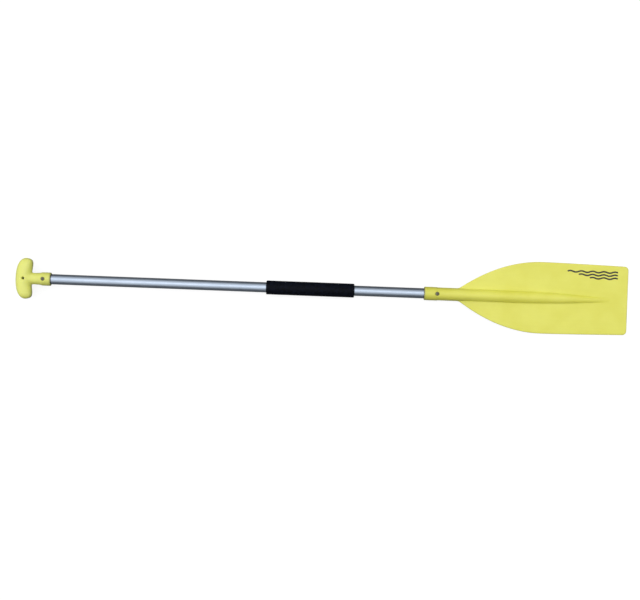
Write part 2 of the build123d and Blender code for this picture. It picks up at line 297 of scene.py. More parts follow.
def net(field, low, high, pitch):
    """Points and quads of a field's surface: one point in each lattice cell that the surface crosses."""
    axes = [np.arange(a, b + pitch, pitch) for a, b in zip(low, high)]
    value = field(*np.meshgrid(*axes, indexing="ij"))
    cells = tuple(n - 1 for n in value.shape)
    total = np.zeros((*cells, 3))
    crossings = np.zeros(cells)
    corner = np.stack(np.meshgrid(*[a[:-1] for a in axes], indexing="ij"), axis=-1)

    def part(offset):
        return value[tuple(slice(o, o + n) for o, n in zip(offset, cells))]

    for axis in range(3):
        sides = [a for a in range(3) if a != axis]
        for first in (0, 1):
            for second in (0, 1):
                start = [0, 0, 0]
                start[sides[0]], start[sides[1]] = first, second
                end = list(start)
                end[axis] = 1
                a, b = part(start), part(end)
                cross = (a < 0) != (b < 0)
                share = np.where(cross, a / np.where(cross, a - b, 1.0), 0.0)
                place = corner + np.array(start) * pitch
                place[..., axis] += share * pitch
                total += place * cross[..., None]
                crossings += cross
    active = crossings > 0
    number = np.full(cells, -1)
    number[active] = np.arange(active.sum())
    points = total[active] / crossings[active][:, None]

    inside = value < 0
    quads = []
    for axis in range(3):
        sides = [a for a in range(3) if a != axis]
        here = [slice(1, n) for n in cells]
        here[axis] = slice(0, cells[axis])
        ahead = list(here)
        ahead[axis] = slice(1, cells[axis] + 1)
        change = inside[tuple(here)] != inside[tuple(ahead)]
        index = np.argwhere(change)
        for a in sides:
            index[:, a] += 1
        leaving = inside[tuple(index.T)]
        around = []
        for first, second in ((1, 1), (0, 1), (0, 0), (1, 0)):
            cell = index.copy()
            cell[:, sides[0]] -= first
            cell[:, sides[1]] -= second
            around.append(number[tuple(cell.T)])
        quad = np.stack(around, axis=1)
        turned = leaving if axis != 1 else ~leaving
        quads.append(np.where(turned[:, None], quad, quad[:, ::-1]))
    return points, np.concatenate(quads)


def relaxed(field, points, quads, rounds):
    """Evens out a net's spacing, and keeps its points on the surface."""
    edges = np.concatenate([quads[:, [i, (i + 1) % 4]] for i in range(4)])
    count = np.bincount(edges.ravel(), minlength=len(points))[:, None]
    for _ in range(rounds):
        total = np.zeros_like(points)
        np.add.at(total, edges[:, 0], points[edges[:, 1]])
        np.add.at(total, edges[:, 1], points[edges[:, 0]])
        shift = total / count - points
        slope = field_slope(field, points)
        slope /= np.maximum(np.linalg.norm(slope, axis=1), 1e-6)[:, None]
        shift -= (shift * slope).sum(axis=1)[:, None] * slope
        points = onto_surface(field, points + 0.6 * shift, 2)
    return points


def make_t_grip():
    """The T grip: bar, neck, collar, socket, lanyard hole and rivet seat as one closed skin."""
    pitch, margin = 0.7, 1.5
    low = (-margin, -GRIP_HALF_WIDTH - margin, -COLLAR_RADIUS - margin)
    high = (GRIP_LENGTH + margin, GRIP_HALF_WIDTH + margin, COLLAR_RADIUS + margin)
    points, quads = net(grip_field, low, high, pitch)
    points = onto_surface(grip_field, points, 4)
    points = relaxed(grip_field, points, quads, 4)
    return make_mesh("t_grip_moulding", points, quads, PALM, "t_grip")


# ---------------------------------------------------------------- blade, as rings from the mouth to the tip
QUARTER = 56  # points in a quarter of each ring, from the crown to the rim
SPINE_SHARE = 20  # how many of them lie on the spine
RIM_POINTS = 8  # how many of them round the rim
HOLE_SHARE = 17  # how many of them, each side of the crown, the gap round the rivet's hole takes
HOLE_REACH = 8  # half the length of that gap

ROOT_FILLET = 4.0  # in the outline, between the neck and the wings
FILLET_START_U = ROOT_U - 8.0
FILLET_END_U = ROOT_U + 30.0
PARTING_RIDGE = 0.22  # how far the parting line stands out on the neck
PARTING_HALF = 0.3  # half its thickness there
CREASE_FILLET = 0.65  # beside the spine
SECTION_STEP = 0.12  # between the places at which a section is worked out
RIM_LENGTH = 2.8  # how much of a section's length the rim's points share
GATHER_START_U = 44.0  # from here to the root, the rings' points gather towards the rim
# Each station of the spine: share of its length, height as a share of the neck's radius
SPINE_HEIGHTS = ((0, 1), (0.1, 0.985), (0.28, 0.88), (0.48, 0.73), (0.7, 0.56), (0.86, 0.35), (1, 0.127))
# The same for how far out from the middle the spine meets the blade's face
SPINE_MEETS = ((0, 15.6), (0.06, 14.8), (0.25, 14.6), (0.46, 14.2), (0.69, 11.9), (0.85, 8.0), (1, 5.2))


def blade_neck_radius(u):
    """Radius of the blade's neck, and of the collar at its mouth."""
    step = COLLAR_RADIUS - BLADE_NECK_RADIUS
    return COLLAR_RADIUS - step * ramp(u, BLADE_COLLAR_END, BLADE_COLLAR_END + COLLAR_BLEND)


def side_half_width(u):
    """Half the blade's width, with the tip's corners left square."""
    out = np.clip((u - ROOT_U) / (WIDEST_U - ROOT_U), None, 1.0)
    shoulder = BLADE_HALF_WIDTH - (BLADE_HALF_WIDTH - BLADE_NECK_RADIUS) * (1 - out) ** 2
    pull = (WIDEST_U - BLADE_LENGTH) / -2
    along = np.maximum(u - WIDEST_U, 0.0)
    taper = (np.sqrt(1 + 4 * along / pull) - 1) / 2
    return shoulder - (BLADE_HALF_WIDTH - TIP_HALF_WIDTH) * taper**2


def half_width(u):
    """Half the width of the blade's outline or of its neck, with a fillet where they meet."""
    neck = blade_neck_radius(u) + PARTING_RIDGE * ramp(u, 1.0, 5.0)
    rising = side_half_width(u) if u > FILLET_START_U else 0.0
    width = float(smooth_max(neck, rising, ROOT_FILLET) if u < FILLET_END_U else side_half_width(u))
    into_corner = u - (BLADE_LENGTH - TIP_CORNER)
    if into_corner > 0:
        width += np.sqrt(max(TIP_CORNER**2 - into_corner**2, 0.0)) - TIP_CORNER
    return width


def rim_distance(u, y):
    """Distance from a place on the blade to its outline."""
    slope = (side_half_width(u + 0.5) - side_half_width(u - 0.5)) * (u > ROOT_U)
    side = (side_half_width(u) - y) / np.hypot(1.0, slope)
    if u < FILLET_END_U:
        side = half_width(u) - y
    end = BLADE_LENGTH - u
    corner_u = BLADE_LENGTH - TIP_CORNER
    corner_y = side_half_width(corner_u) - TIP_CORNER
    distance = np.minimum(side, end)
    if u > corner_u:
        round_corner = TIP_CORNER - np.hypot(u - corner_u, y - corner_y)
        distance = np.where(y > corner_y, round_corner, distance)
    return np.maximum(distance, 0.0)


def spine_sizes(u):
    """Half width and half height of the spine's ellipse, and where it meets the blade's face."""
    share = (u - ROOT_U) / (SPINE_END_U - ROOT_U)
    if share <= 0:
        radius = float(blade_neck_radius(u))
        return radius, radius, radius
    height = BLADE_NECK_RADIUS * float(through(SPINE_HEIGHTS, share))
    meets = float(through(SPINE_MEETS, share))
    height = max(height, PLATE_HALF + 0.01)
    width = meets / np.sqrt(1 - (PLATE_HALF / height) ** 2)
    blend = ramp(share, 0.0, 0.06)
    return BLADE_NECK_RADIUS + (width - BLADE_NECK_RADIUS) * blend, height, meets


def quarter_ring(u):
    """The points of a quarter of the blade's section at u, from its crown to its rim."""
    width = half_width(u)
    spine_width, spine_height, meets = spine_sizes(u)
    plate = PARTING_HALF + (PLATE_HALF - PARTING_HALF) * float(ramp(u, ROOT_U - 14.0, ROOT_U + 4.0))
    fine = np.concatenate(
        [
            spine_width * np.sin(np.linspace(0, pi / 2, 260)),
            np.linspace(0, width, 420),
            width - PLATE_ROUND * 1.5 * np.linspace(1, 0, 90) ** 2,
        ]
    )
    y = np.unique(np.clip(fine, 0.0, width))
    if u > SPINE_END_U:
        spine = np.zeros_like(y)
    else:
        spine = spine_height * np.sqrt(np.clip(1 - (y / spine_width) ** 2, 0.0, None))
    near = np.clip(rim_distance(u, y) / PLATE_ROUND, 0.0, 1.0)
    z = np.maximum(spine, plate * np.sqrt(1 - (1 - near) ** 2))
    z[-1] = 0.0
    run = np.concatenate([[0.0], np.cumsum(np.hypot(np.diff(y), np.diff(z)))])
    length = run[-1]
    even = np.linspace(0.0, length, max(int(length / SECTION_STEP), 120))
    y, z = np.interp(even, run, y), np.interp(even, run, z)
    # The crease beside the spine gets a fillet, by averaging the section there
    step = even[1] - even[0]
    crease = float(np.interp(meets, y, even)) if u > ROOT_U else length
    reach = CREASE_FILLET * float(ramp(u, ROOT_U, ROOT_U + 6.0))
    if reach > 0.1:
        half = int(3 * reach / step)
        kernel = np.exp(-0.5 * (np.arange(-half, half + 1) * step / reach) ** 2)
        kernel /= kernel.sum()
        wide_y = np.concatenate([-y[half:0:-1], y, y[-2 : -half - 2 : -1]])
        wide_z = np.concatenate([z[half:0:-1], z, -z[-2 : -half - 2 : -1]])
        soft_y, soft_z = np.convolve(wide_y, kernel, "valid"), np.convolve(wide_z, kernel, "valid")
        weight = np.exp(-(((even - crease) / (4 * reach)) ** 4)) * ramp(length - even, 2.0, 4.0)
        y, z = y + (soft_y - y) * weight, z + (soft_z - z) * weight
    # Points: spread evenly on the neck, and gathered on the spine, the wing and the rim beyond it
    rim_length = min(RIM_LENGTH, (length - crease) / 2)
    wing = length - rim_length - crease
    wing_points = QUARTER - SPINE_SHARE - RIM_POINTS
    places = np.concatenate(
        [
            np.linspace(0, crease, SPINE_SHARE + 1),
            crease + wing * np.linspace(0, 1, wing_points + 1)[1:],
            length - rim_length * (1 - np.linspace(0, 1, RIM_POINTS + 1)[1:]) ** 1.3,
        ]
    )
    gathered = float(ramp(u, GATHER_START_U, ROOT_U))
    if gathered < 1:
        wing_share = 0.075
        crease_on_neck = length * (1 - wing_share)
        on_neck = np.concatenate(
            [
                np.linspace(0, crease_on_neck, SPINE_SHARE + 1),
                crease_on_neck + (length - crease_on_neck) * np.linspace(0, 1, QUARTER - SPINE_SHARE + 1)[1:],
            ]
        )
        places = np.linspace(0, length, QUARTER + 1) * (1 - gathered) + on_neck * gathered
    return np.interp(places, even, y), np.interp(places, even, z)


def full_ring(u, quarter_y, quarter_z):
    """A whole ring from a quarter: crown, rim at +y, underside, rim at -y and back."""
    y = np.concatenate([quarter_y, quarter_y[-2::-1], -quarter_y[1:], -quarter_y[-2:0:-1]])
    z = np.concatenate([quarter_z, -quarter_z[-2::-1], -quarter_z[1:], quarter_z[-2:0:-1]])
    return [(u, a, b) for a, b in zip(y, z)]


def round_ring(u, radius):
    """A ring of the neck or the socket."""
    angles = np.linspace(0, pi / 2, QUARTER + 1)
    return full_ring(u, radius * np.sin(angles), radius * np.cos(angles))


def drawn_in(points, loop, centre_u, radius, surface_z, share=0.0):
    """A copy of a loop, drawn in towards a circle round an upright axis: onto it where the share is 0."""
    made = []
    for number in loop:
        u, y, _ = points[number]
        angle = np.arctan2(y, u - centre_u)
        reach = radius + (np.hypot(u - centre_u, y) - radius) * share
        new_u, new_y = centre_u + reach * cos(angle), reach * sin(angle)
        made.append(len(points))
        points.append((new_u, new_y, surface_z(new_u, new_y)))
    return made


def punched(points, rings, centre_u, radius, surface_z, shares):
    """Makes room for a hole on the crown of a stack of rings.

    Returns the faces that fill the square gap up to a circle, the point numbers on the circle, and the
    pairs (ring, place) whose own quads are left out.
    """
    us = [points[ring[0]][0] for ring in rings]
    inside = [i for i, u in enumerate(us) if abs(u - centre_u) < HOLE_REACH + 0.01]
    first, last = inside[0], inside[-1]
    top = [rings[first][j] for j in range(-HOLE_SHARE, HOLE_SHARE)]
    right = [rings[i][HOLE_SHARE] for i in range(first, last)]
    bottom = [rings[last][j] for j in range(HOLE_SHARE, -HOLE_SHARE, -1)]
    left = [rings[i][-HOLE_SHARE] for i in range(last, first, -1)]
    loop = top + right + bottom + left
    loops = [loop, *(drawn_in(points, loop, centre_u, radius, surface_z, share) for share in shares)]
    skipped = {(i, j) for i in range(first, last) for j in range(-HOLE_SHARE, HOLE_SHARE)}
    return ring_faces(loops), loops[-1], skipped


def make_blade():
    """The blade: neck, collar, socket, spine and plate as one closed skin, with its rivet's hole."""
    near_rivet = list(np.arange(BLADE_RIVET_U - HOLE_REACH, BLADE_RIVET_U + HOLE_REACH + 0.01, 1.0))
    corner = [BLADE_LENGTH - TIP_CORNER + TIP_CORNER * sin(radians(a)) for a in range(0, 91, 5)]
    # Where along the blade its rings lie: closest at the rivet, the root, the spine's end and the corners
    places = [1.0, 2.0, 3.5, 5.5, 8.0, 11.0, 14.0, 17.0, 20.0, 22.5, *near_rivet]
    places += list(np.arange(BLADE_RIVET_U + 10, ROOT_U - 11, 2.4))
    places += list(np.arange(ROOT_U - 11, ROOT_U + 14, 0.9))
    places += list(np.arange(ROOT_U + 15, SPINE_END_U - 25, 2.5))
    places += list(np.arange(SPINE_END_U - 25, SPINE_END_U + 4, 1.4))
    places += list(np.arange(SPINE_END_U + 6, corner[0] - 1.5, 2.5))
    places += corner[:-1]
    points, rings = [], []

    def add(ring):
        rings.append(list(range(len(points), len(points) + len(ring))))
        points.extend(ring)

    # The socket from its bottom to the mouth, the mouth's rim, and the outside to the tip
    socket_depth = TUBE_END - BLADE_MOUTH
    for u in (socket_depth, 95.0, 70.0, 50.0, *near_rivet[::-1], 16.0, 6.0, LEAD_IN):
        add(round_ring(u, SOCKET_RADIUS))
    socket_rings = len(rings)
    add(round_ring(0.0, SOCKET_RADIUS + LEAD_IN))
    for u, radius in arc((1.0, COLLAR_RADIUS - 1.0), 1.0, 180, 90, 6)[:-1]:
        add(round_ring(u, radius))
    for u in places:
        add(full_ring(u, *quarter_ring(u)))
    # The tip's edge, where the front and the back meet in one line
    tip_y, _ = quarter_ring(BLADE_LENGTH)
    edge = list(range(len(points), len(points) + 2 * QUARTER + 1))
    points.extend((BLADE_LENGTH, y, 0.0) for y in np.concatenate([tip_y[::-1], -tip_y[1:]]))
    tip_ring = edge[QUARTER::-1] + edge[1 : 2 * QUARTER + 1] + edge[2 * QUARTER - 1 : QUARTER : -1]
    rings.append(tip_ring)

    def on_collar(u, y):
        return float(np.sqrt(blade_neck_radius(u) ** 2 - y**2))

    def in_socket(u, y):
        return float(np.sqrt(SOCKET_RADIUS**2 - y**2))

    # The rivet's seat from outside and its hole from inside, each reached in a few smaller loops
    seat_shares, hole_shares = (0.66, 0.36, 0.14, 0.0), (0.6, 0.25, 0.0)
    outer, inner = rings[socket_rings:], rings[:socket_rings]
    fill_out, seat_ring, skip_out = punched(
        points, outer, BLADE_RIVET_U, SPOT_FACE_RADIUS + 0.35, on_collar, seat_shares
    )
    fill_in, hole_ring, skip_in = punched(
        points, inner[::-1], BLADE_RIVET_U, RIVET_HOLE_RADIUS, in_socket, hole_shares
    )
    # Down the seat's wall, across its floor and into the hole
    steps = (
        (SPOT_FACE_RADIUS + 0.08, lambda u, y: on_collar(u, y) - 0.1),
        (SPOT_FACE_RADIUS, lambda u, y: max(on_collar(u, y) - 0.4, RIVET_SEAT_Z + 0.02)),
        (SPOT_FACE_RADIUS - 0.05, lambda u, y: RIVET_SEAT_Z),
        (4.2, lambda u, y: RIVET_SEAT_Z),
        (RIVET_HOLE_RADIUS, lambda u, y: RIVET_SEAT_Z),
    )
    seat = [seat_ring, *(drawn_in(points, seat_ring, BLADE_RIVET_U, *step) for step in steps)]
    faces = fill_out + ring_faces(seat)
    faces += [face[::-1] for face in fill_in]
    faces += ring_faces([seat[-1], hole_ring])

    count = 4 * QUARTER
    skip_rings = {(socket_rings + i, j % count) for i, j in skip_out}
    skip_rings |= {(socket_rings - 2 - i, j % count) for i, j in skip_in}
    for number, quad in enumerate(ring_faces(rings)):
        if divmod(number, count) not in skip_rings:
            faces.append(quad)
    bottom = len(points)
    points.append((socket_depth, 0.0, 0.0))
    faces += [(bottom, rings[0][j], rings[0][(j + 1) % count]) for j in range(count)]
    return make_mesh("blade_moulding", points, faces, BLADE_MOUTH, "blade")


# ---------------------------------------------------------------- shaft, foam, rivets and print
def make_tube():
    """The tube: drawn, with deburred ends and a drilled hole for each rivet."""
    length = TUBE_END - TUBE_START
    deburr = 0.35
    past_wall = 3
    outside = arc((deburr, TUBE_RADIUS - deburr), deburr, 180, 90, 4)
    outside += [(u, TUBE_RADIUS) for u in np.linspace(0, length, 56)[1:-1]]
    outside += arc((length - deburr, TUBE_RADIUS - deburr), deburr, 90, 0, 4)
    inside = arc((length - deburr, TUBE_BORE_RADIUS + deburr), deburr, 0, -90, 4)
    inside += [(u, TUBE_BORE_RADIUS) for u in np.linspace(length, 0, 56)[1:-1]]
    inside += arc((deburr, TUBE_BORE_RADIUS + deburr), deburr, -90, -180, 4)
    points, faces = turn(outside + inside, 128)
    tube = make_mesh("aluminium_tube", points, faces, TUBE_START, "shaft_tube")
    for rivet_x in (GRIP_RIVET_X, BLADE_RIVET_X):
        top = TUBE_RADIUS + past_wall
        hole = [(0, 0), (0, RIVET_HOLE_RADIUS), (top, RIVET_HOLE_RADIUS), (top, 0)]
        drill = raw_mesh("drill", *turn(hole, 44, upright=True), rivet_x)
        cut = tube.modifiers.new("drilled", "BOOLEAN")
        cut.operation, cut.solver, cut.object = "DIFFERENCE", "EXACT", drill
        depsgraph = bpy.context.evaluated_depsgraph_get()
        drilled = bpy.data.meshes.new_from_object(tube.evaluated_get(depsgraph))
        tube.modifiers.clear()
        merged = bmesh.new()
        merged.from_mesh(drilled)
        bmesh.ops.remove_doubles(merged, verts=merged.verts, dist=MERGE_REACH)
        merged.to_mesh(drilled)
        merged.free()
        tube.data = drilled
        bpy.data.objects.remove(drill)
    return tube


def make_foam():
    """The foam sleeve: rounded ends, a slightly uneven skin and a snug bore."""
    length = FOAM_END - FOAM_START
    rounding, chamfer = 2.4, 0.5
    outside = arc((rounding, FOAM_RADIUS - rounding), rounding, 180, 90, 8)
    outside += [(u, FOAM_RADIUS) for u in np.linspace(rounding, length - rounding, 150)[1:-1]]
    outside += arc((length - rounding, FOAM_RADIUS - rounding), rounding, 90, 0, 8)
    bore = [
        (length, TUBE_RADIUS + chamfer),
        (length - chamfer, TUBE_RADIUS),
        (chamfer, TUBE_RADIUS),
        (0.0, TUBE_RADIUS + chamfer),
    ]
    points, faces = turn(outside + bore, 160)
    uneven = []
    for u, y, z in points:
        radius = np.hypot(y, z)
        skin = float(ramp(radius, TUBE_RADIUS + 0.8, FOAM_RADIUS - 0.6))
        broad = noise.noise(Vector((u * 0.035, y * 0.09, z * 0.09)))
        close = noise.noise(Vector((u * 0.35, y * 0.35, z * 0.35 + 40)))
        shrink = skin * (0.16 * broad + 0.05 * close - 0.17)
        scale = (radius + shrink) / radius
        uneven.append((u, y * scale, z * scale))
    foam = make_mesh("foam_sleeve", uneven, faces, FOAM_START, "foam_grip")
    return foam


def make_rivet(end, rivet_x):
    """One blind rivet and what stays of its mandrel, standing on their own upright axis."""
    head_top, head_radius, edge = RIVET_SEAT_Z + RIVET_HEAD, 4.75, 0.3
    tail = span(f"{end}_rivet", 2)[0] - AXIS_Z
    hole, stem_radius = 1.37, 1.34
    crown = head_top - RIVET_SEAT_Z - edge
    dome = [
        (RIVET_SEAT_Z + edge + crown * cos(a) ** 0.9, hole + 0.3 + (head_radius - hole - 0.3) * sin(a))
        for a in np.linspace(0, pi / 2, 16)
    ]
    # The shank swells behind the tube's wall, where the mandrel was pulled into it
    rim = [(RIVET_SEAT_Z + 0.08, head_radius), (RIVET_SEAT_Z, head_radius - 0.1), (RIVET_SEAT_Z, 2.4)]
    shank = [(10.9, 2.4), (10.3, 3.0), (9.4, 3.55), (8.2, 3.55), (7.2, 2.9), (tail, 2.3), (tail, hole)]
    bore = [(head_top - 0.35, hole), (head_top - 0.1, hole + 0.08)]
    points, faces = turn(dome + rim + shank + bore, 64, upright=True)
    rivet = make_mesh(f"{end}_blind_rivet", points, faces, rivet_x, f"{end}_rivet")
    # The mandrel's stem snapped a little below the head's top, and its own head stayed under the tail
    snapped = head_top - 0.64
    stem = [(snapped + 0.05, 0), (snapped, 0.5), (snapped - 0.12, 1.1), (snapped - 0.35, stem_radius)]
    stem.append((tail, stem_radius))
    button = [(tail, 1.9), (tail - 0.2, 2.0), (tail - 1.6, 1.95), (tail - 2.3, 1.4), (tail - 2.5, 0.7)]
    points, faces = turn([*stem, *button, (tail - 2.5, 0)], 48, upright=True)
    mandrel = make_mesh(f"{end}_mandrel", points, faces, rivet_x, f"{end}_rivet_mandrel")
    return rivet, mandrel


def make_print():
    """Three wavy ink lines on the front face, each a thin closed strip with round ends."""
    right_end = span("blade_print", 0)[1] - 1.0 - BLADE_MOUTH
    low_y, high_y = span("blade_print", 1)
    half_line, wave, swing = 1.9, 28.0, 1.6
    section = ((-1, 0.0), (-1, 0.1), (-0.94, 0.15), (0.94, 0.15), (1, 0.1), (1, 0.0), (0, -0.05))
    top_line, bottom_line = high_y - half_line - swing, low_y + half_line + swing
    points, faces = [], []
    for row, length in enumerate((126.0, 98.0, 70.0)):
        middle = top_line + (bottom_line - top_line) * row / 2
        along = np.concatenate(
            [
                half_line * (1 - np.cos(np.linspace(0, pi / 2, 7)))[:-1],
                np.linspace(half_line, length - half_line, int(length)),
                length - half_line * (1 - np.cos(np.linspace(pi / 2, 0, 7)))[1:],
            ]
        )
        start = right_end - length
        rings = []
        for s in along:
            from_end = min(s, length - s, half_line)
            half = max(np.sqrt(half_line**2 - (half_line - from_end) ** 2), 0.02)
            y = middle + swing * sin(2 * pi * s / wave)
            slope = swing * 2 * pi / wave * cos(2 * pi * s / wave)
            across = Vector((-slope, 1.0)).normalized()
            ring = []
            for side, z in section:
                out = half * side
                ring.append(len(points))
                points.append((start + s + across[0] * out, y + across[1] * out, PLATE_HALF + z))
            rings.append(ring)
        faces += ring_faces(rings)
        faces += [tuple(rings[0]), tuple(rings[-1][::-1])]
    return make_mesh("blade_wave_print", points, faces, BLADE_MOUTH, "blade_print")


# ---------------------------------------------------------------- materials
class Graph:
    """A node tree under construction: short ways to add nodes and join them."""

    def __init__(self, tree):
        self.tree = tree

    def node(self, kind, **settings):
        made = self.tree.nodes.new(kind)
        for key, value in settings.items():
            setattr(made, key, value)
        return made

    def join(self, source, target):
        self.tree.links.new(source, target)

    def give(self, value, socket):
        """Sets a socket to a number, or joins it to another socket."""
        if isinstance(value, bpy.types.NodeSocket):
            self.join(value, socket)
        else:
            socket.default_value = value

    def between(self, value, low, high, to_low=0.0, to_high=1.0):
        """Maps a value from one range to another, smoothly, and holds it at the ends."""
        made = self.node("ShaderNodeMapRange", interpolation_type="SMOOTHSTEP")
        for key, number in zip(("From Min", "From Max", "To Min", "To Max"), (low, high, to_low, to_high)):
            made.inputs[key].default_value = number
        self.join(value, made.inputs["Value"])
        return made.outputs["Result"]

    def math(self, operation, *values):
        made = self.node("ShaderNodeMath", operation=operation)
        for socket, value in zip(made.inputs, values):
            self.give(value, socket)
        return made.outputs["Value"]

    def part(self, vector, letter):
        """The X, Y or Z of a vector."""
        split = self.node("ShaderNodeSeparateXYZ")
        self.join(vector, split.inputs["Vector"])
        return split.outputs[letter]


class Recipe(Graph):
    """A material, whose patterns lie in the object's own coordinates."""

    def __init__(self, name):
        self.material = bpy.data.materials.new(name)
        self.material.use_nodes = True
        super().__init__(self.material.node_tree)
        self.shader = self.tree.nodes["Principled BSDF"]
        self.place = self.node("ShaderNodeTexCoord").outputs["Object"]

    def set(self, **values):
        """Gives the shader's own sockets a number or colour, or another node's socket."""
        for key, value in values.items():
            self.give(value, self.shader.inputs[key.replace("_", " ")])

    def noise(self, size, detail=3.0, rough=0.5, stretch=(1, 1, 1)):
        """Noise whose features are about that many millimetres across."""
        mapping = self.node("ShaderNodeMapping")
        mapping.inputs["Scale"].default_value = stretch
        self.join(self.place, mapping.inputs["Vector"])
        made = self.node("ShaderNodeTexNoise")
        made.inputs["Scale"].default_value = 1 / (size * MM)
        made.inputs["Detail"].default_value = detail
        made.inputs["Roughness"].default_value = rough
        self.join(mapping.outputs["Vector"], made.inputs["Vector"])
        return made.outputs["Fac"]

    def cells(self, size, feature):
        """Distance within or between cells that are about that many millimetres across."""
        made = self.node("ShaderNodeTexVoronoi", feature=feature)
        made.inputs["Scale"].default_value = 1 / (size * MM)
        self.join(self.place, made.inputs["Vector"])
        return made.outputs["Distance"]

    def mix(self, share, a, b):
        """A colour between a and b."""
        made = self.node("ShaderNodeMix", data_type="RGBA")
        self.join(share, made.inputs["Factor"])
        for key, value in (("A", a), ("B", b)):
            socket = next(i for i in made.inputs if i.name == key and i.type == "RGBA")
            self.give((*value, 1.0) if isinstance(value, tuple) else value, socket)
        return next(o for o in made.outputs if o.type == "RGBA")

    def near(self, place, reach):
        """1 at a place along the shaft, fading to 0 within the reach, both in millimetres."""
        away = self.math("ABSOLUTE", self.math("SUBTRACT", self.part(self.place, "X"), place * MM))
        return self.between(away, 0.0, reach * MM, 1.0, 0.0)

    def bump(self, height, depth, under=None):
        """Roughens the surface by a height from 0 to 1, depth millimetres deep."""
        made = self.node("ShaderNodeBump")
        made.inputs["Distance"].default_value = depth * MM
        self.join(height, made.inputs["Height"])
        if under is not None:
            self.join(under, made.inputs["Normal"])
        return made.outputs["Normal"]

    def use(self, piece):
        piece.data.materials.clear()
        piece.data.materials.append(self.material)


def linear(red, green, blue):
    """A colour given as 0 to 255 on screen, as the light values that a shader takes."""
    return tuple(
        c / 255 / 12.92 if c <= 10 else ((c / 255 + 0.055) / 1.055) ** 2.4 for c in (red, green, blue)
    )


def yellow_moulding(name, pale, deep, mouth, deep_shade_reach):
    """Moulded polypropylene: slightly see-through, fine grain, flow marks, faint scuffs and a parting line.

    The colour is a little deeper within deep_shade_reach of the mouth, a painted shade, and a painted shade
    darkens the edge of the mouth in patches.
    """
    streak = tuple(0.93 * c for c in deep)
    scraped = tuple(min(1.0, 1.12 * c + 0.03) for c in pale)
    deep_shade_colour = tuple(0.88 * c for c in deep)
    # Colour and reach of the painted shade at the edge of the mouth
    mouth_shade_colour = (0.30, 0.30, 0.13)
    mouth_shade_reach = 5.0
    half_parting = 0.35
    recipe = Recipe(name)
    mottle = recipe.between(recipe.noise(55, 3.0), 0.3, 0.7)
    flow = recipe.noise(3.0, 4.0, 0.6, (0.06, 1, 1))
    scuff = recipe.between(recipe.noise(1.2, 5.0, 0.7, (0.05, 1, 1)), 0.62, 0.72)
    patch = recipe.between(recipe.noise(38, 2.0), 0.5, 0.66)
    scuffed = recipe.math("MULTIPLY", scuff, patch)
    # Painted shade: the yellow is a little deeper near the mouth
    deep_shade = recipe.math("MULTIPLY", recipe.near(mouth, deep_shade_reach), 0.65)
    mouth_shade_strength = recipe.between(recipe.noise(1.5, 3.0), 0.2, 0.6, 0.35, 0.6)
    colour = recipe.mix(mottle, pale, deep)
    colour = recipe.mix(recipe.between(flow, 0.4, 0.7, 0.0, 0.15), colour, streak)
    colour = recipe.mix(recipe.math("MULTIPLY", scuffed, 0.35), colour, scraped)
    colour = recipe.mix(deep_shade, colour, deep_shade_colour)
    # Painted shade: the edge of the mouth is darkened a few millimetres in, in patches
    mouth_shade = recipe.math("MULTIPLY", recipe.near(mouth, mouth_shade_reach), mouth_shade_strength)
    colour = recipe.mix(mouth_shade, colour, mouth_shade_colour)
    sheen = recipe.between(recipe.noise(20, 4.0), 0.3, 0.7, 0.34, 0.44)
    off_line = recipe.math("ABSOLUTE", recipe.math("SUBTRACT", recipe.part(recipe.place, "Z"), AXIS_Z * MM))
    grain = recipe.bump(recipe.noise(0.55, 3.0), 0.018)
    ripple = recipe.bump(recipe.noise(26, 2.0, 0.4, (0.5, 1, 1)), 0.16, grain)
    scratched = recipe.bump(scuffed, 0.03, ripple)
    recipe.set(
        Base_Color=colour,
        Roughness=recipe.math("ADD", sheen, recipe.math("MULTIPLY", scuffed, 0.2)),
        IOR=1.49,
        Subsurface_Weight=0.1,
        Subsurface_Scale=0.002,
        Subsurface_Radius=(1.0, 0.85, 0.25),
        Normal=recipe.bump(recipe.between(off_line, 0.0, half_parting * MM, 1.0, 0.0), 0.12, scratched),
    )
    return recipe


def drawn_aluminium():
    """Drawn and anodised tube: fine lines along it, a soft sheen round it and a few handling marks."""
    silver = (0.41, 0.475, 0.57)
    silver_deep = (0.38, 0.445, 0.54)
    line_colour = (0.31, 0.36, 0.435)
    # Colour of the painted shade at the joints
    joint_shade_colour = (0.05, 0.05, 0.05)
    shaded_joints = ((GRIP_MOUTH, 3.0), (BLADE_MOUTH, 3.0), (FOAM_START, 1.5), (FOAM_END, 1.5))
    recipe = Recipe("drawn_anodised_aluminium")
    lines = recipe.noise(0.8, 5.0, 0.75, (0.006, 1, 1))
    cloud = recipe.between(recipe.noise(70, 3.0), 0.3, 0.7)
    colour = recipe.mix(cloud, silver, silver_deep)
    colour = recipe.mix(recipe.between(lines, 0.4, 0.66, 0.0, 0.6), colour, line_colour)
    # Painted shade: the tube is darkened, in patches, within a few millimetres of where it goes into the
    # grip, the blade and the foam
    for joint, reach in shaded_joints:
        share = recipe.between(cloud, 0.0, 1.0, 0.7, 0.9)
        colour = recipe.mix(recipe.math("MULTIPLY", recipe.near(joint, reach), share), colour, joint_shade_colour)
    dull = recipe.between(recipe.noise(9, 5.0, 0.6, (0.3, 1, 1)), 0.35, 0.7, 0.27, 0.34)
    tangent = recipe.node("ShaderNodeTangent", direction_type="RADIAL", axis="X")
    marks = recipe.between(recipe.noise(1.6, 5.0, 0.8, (0.2, 1, 1)), 0.66, 0.74)
    recipe.set(
        Base_Color=colour,
        Roughness=recipe.math("ADD", dull, recipe.between(lines, 0.35, 0.7, 0.0, 0.08)),
        Metallic=1.0,
        Anisotropic=0.35,
        Tangent=tangent.outputs["Tangent"],
        Normal=recipe.bump(marks, 0.035, recipe.bump(lines, 0.03)),
    )
    return recipe


